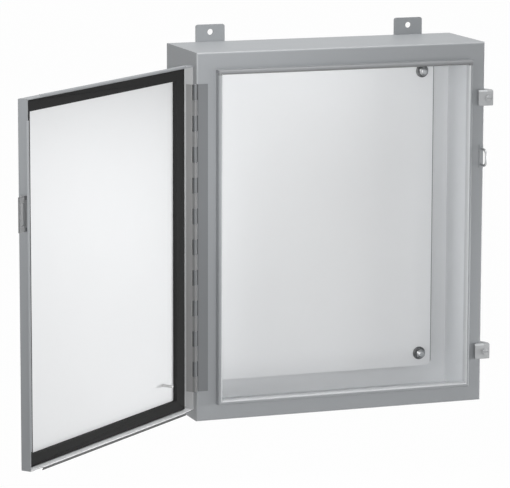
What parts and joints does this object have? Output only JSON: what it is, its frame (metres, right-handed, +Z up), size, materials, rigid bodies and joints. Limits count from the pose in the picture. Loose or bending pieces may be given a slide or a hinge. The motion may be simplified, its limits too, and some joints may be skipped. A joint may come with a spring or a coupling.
{
  "type": "electrical enclosure",
  "caption": "Wall-mount steel electrical enclosure with a full-height hinged door standing open, a rolled lip round the opening, screw clamps, a padlock hasp and a raised inner panel.",
  "frame": {"origin": "on the wall plane, at the centre of the four mounting holes", "axes": "+X to the right seen from the front, +Y into the wall, +Z up"},
  "size_m": [0.9151, 0.4919, 0.6668],
  "materials": {
    "grey_paint": "light grey powder coat, finely textured",
    "white_paint": "white powder coat",
    "hinge_paint": "grey powder coat over a rolled steel hinge",
    "zinc_steel": "zinc-plated steel",
    "gasket_foam": "matt black foam"
  },
  "bodies": {
    "enclosure": {"body_top": "grey_paint", "body_bottom": "grey_paint", "body_hinge_side": "grey_paint", "body_clamp_side": "grey_paint", "back_plate": "grey_paint", "mounting_feet": "grey_paint", "panel_studs": "zinc_steel", "inner_panel": "white_paint", "panel_washers": "zinc_steel", "panel_nuts": "zinc_steel", "hinge_leaf_body": "hinge_paint", "hinge_pin": "zinc_steel", "staple_plate": "grey_paint", "padlock_staple": "zinc_steel", "clamp_brackets": "grey_paint", "body_ground_stud": "zinc_steel", "body_ground_nut": "zinc_steel"},
    "door": {"door_panel": "grey_paint", "hinge_leaf_door": "hinge_paint", "door_gasket": "gasket_foam", "hasp_plate": "grey_paint", "door_ground_stud": "zinc_steel"},
    "clamp_upper": {"clamp_upper": "grey_paint"},
    "clamp_lower": {"clamp_lower": "grey_paint"},
    "clamp_screw_upper": {"clamp_screw_upper": "zinc_steel"},
    "clamp_screw_lower": {"clamp_screw_lower": "zinc_steel"}
  },
  "joints": [
    {"name": "door_hinge", "type": "hinge", "parent": "enclosure", "child": "door", "pos_m": [-0.2572, -0.1583, 0], "axis": [0, 0, -1], "range_deg": [-139, 41]},
    {"name": "clamp_upper_slide", "type": "slide", "parent": "enclosure", "child": "clamp_upper", "axis": [-1, 0, 0], "range_m": [0, 0.0044]},
    {"name": "clamp_lower_slide", "type": "slide", "parent": "enclosure", "child": "clamp_lower", "axis": [-1, 0, 0], "range_m": [0, 0.0044]},
    {"name": "clamp_screw_upper_turn", "type": "hinge", "parent": "enclosure", "child": "clamp_screw_upper", "pos_m": [0.2572, -0.1635, 0.2117], "axis": [0, -1, 0], "range_deg": [0, 720]},
    {"name": "clamp_screw_lower_turn", "type": "hinge", "parent": "enclosure", "child": "clamp_screw_lower", "pos_m": [0.2572, -0.1635, -0.2198], "axis": [0, -1, 0], "range_deg": [0, 720]}
  ]
}
